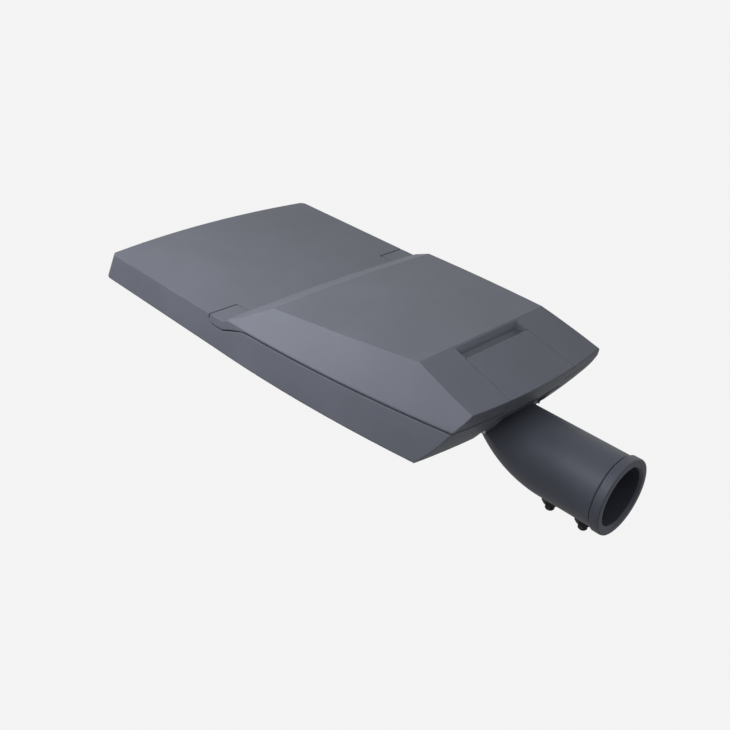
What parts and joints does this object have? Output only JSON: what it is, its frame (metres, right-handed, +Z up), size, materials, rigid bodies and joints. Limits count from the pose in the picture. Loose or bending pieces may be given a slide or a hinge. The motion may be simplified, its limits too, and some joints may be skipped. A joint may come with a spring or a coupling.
{
  "type": "led street light head",
  "caption": "Flat LED road light head with a faceted lift-up gear cover, latch flap, glass-fronted optics and a tilting side-entry mast spigot with clamp screws.",
  "frame": {"origin": "centre of the mast socket's mouth, on the socket's axis", "axes": "+X out of the socket, along the mast arm; the head lies towards -X; +Y across; +Z up"},
  "size_m": [0.6387, 0.319, 0.1526],
  "materials": {
    "housing_paint": "fine textured powder coat, satin",
    "cover_paint": "fine textured powder coat, satin",
    "flap_paint": "fine textured powder coat, satin",
    "spigot_paint": "fine textured powder coat, satin",
    "black_steel": "black oxide, low sheen",
    "bright_steel": "plain stainless",
    "spring_steel": "rolled stainless strip",
    "zinc_sheet": "zinc-plated sheet",
    "clear_glass": "clear toughened",
    "lens_clear": "clear moulded acrylic",
    "board_white": "white solder mask on aluminium",
    "led_yellow": "phosphor, satin",
    "driver_case": "light grey case",
    "white_plastic": "moulded, satin",
    "black_plastic": "moulded, matte",
    "seal_rubber": "silicone, matte"
  },
  "bodies": {
    "spigot": {"mast_spigot": "spigot_paint", "clamp_screws": "black_steel", "clamp_lock_nuts": "black_steel", "tilt_pivot_screws": "bright_steel", "tilt_lock_screws": "bright_steel", "tilt_washers": "bright_steel"},
    "head": {"housing": "housing_paint", "optic_glass": "clear_glass", "glass_gasket": "seal_rubber", "glass_frame": "housing_paint", "frame_screws": "bright_steel", "led_board_near": "board_white", "led_packages_near": "led_yellow", "lens_plate_near": "lens_clear", "led_board_far": "board_white", "led_packages_far": "led_yellow", "lens_plate_far": "lens_clear", "board_screws": "bright_steel", "gear_tray": "zinc_sheet", "tray_screws": "bright_steel", "led_driver": "driver_case", "surge_protector": "white_plastic", "terminal_block": "white_plastic", "gear_screws": "bright_steel", "duct_grommet": "seal_rubber", "breather_vent": "black_plastic", "cable_gland": "black_plastic", "gland_nut": "black_plastic", "cover_gasket": "seal_rubber", "hinge_pins": "bright_steel", "latch_pin": "bright_steel"},
    "cover": {"gear_cover": "cover_paint"},
    "latch": {"latch_flap": "flap_paint", "latch_spring": "spring_steel", "spring_rivets": "bright_steel"}
  },
  "joints": [
    {"name": "head_tilt", "type": "hinge", "parent": "spigot", "child": "head", "pos_m": [-0.1446, 0, 0.0292], "axis": [0, 1, 0], "range_deg": [-15, 0]},
    {"name": "cover_hinge", "type": "hinge", "parent": "head", "child": "cover", "pos_m": [-0.4314, 0, 0.0525], "axis": [0, -1, 0], "range_deg": [0, 75]},
    {"name": "latch_hinge", "type": "hinge", "parent": "head", "child": "latch", "pos_m": [-0.12234, 0, 0.0498], "axis": [0, 1, 0], "range_deg": [0, 70]}
  ]
}
